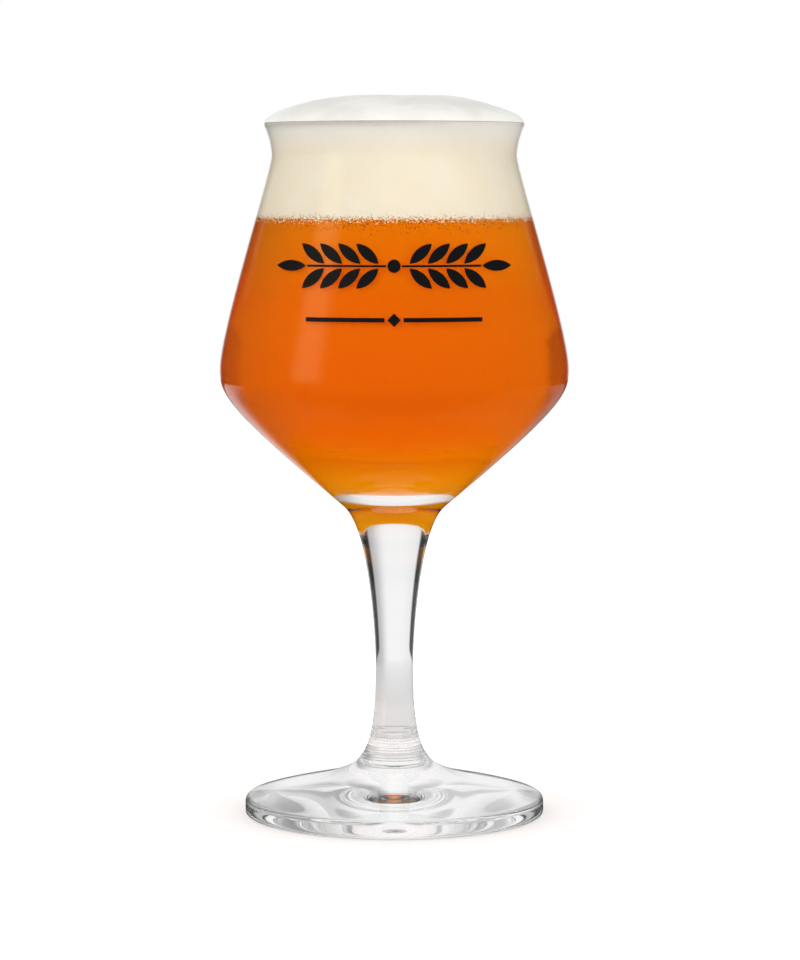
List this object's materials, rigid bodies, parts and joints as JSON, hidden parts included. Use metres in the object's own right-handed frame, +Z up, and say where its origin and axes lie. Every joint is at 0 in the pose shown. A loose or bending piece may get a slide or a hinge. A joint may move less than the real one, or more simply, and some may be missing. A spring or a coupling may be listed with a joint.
{
  "type": "stemmed beer glass",
  "caption": "Clear stemmed glass with an angular belly and a flared lip, filled with amber beer under a domed head of foam, on a wide round foot, with a small barley print.",
  "frame": {"origin": "on the table under the middle of the foot, in the plane of the flat ring that the glass stands on", "axes": "+Z is up along the axis of the glass; -Y is the front, the side with the print"},
  "size_m": [0.0926, 0.0926, 0.1919],
  "materials": {
    "bowl_glass": "polished",
    "stem_glass": "polished",
    "foot_glass": "polished",
    "beer": "gloss",
    "foam": "matte",
    "ink": "satin"
  },
  "bodies": {
    "root": {"bowl": "bowl_glass", "stem": "stem_glass", "foot": "foot_glass", "beer": "beer", "foam_head": "foam", "front_print": "ink"}
  },
  "joints": []
}
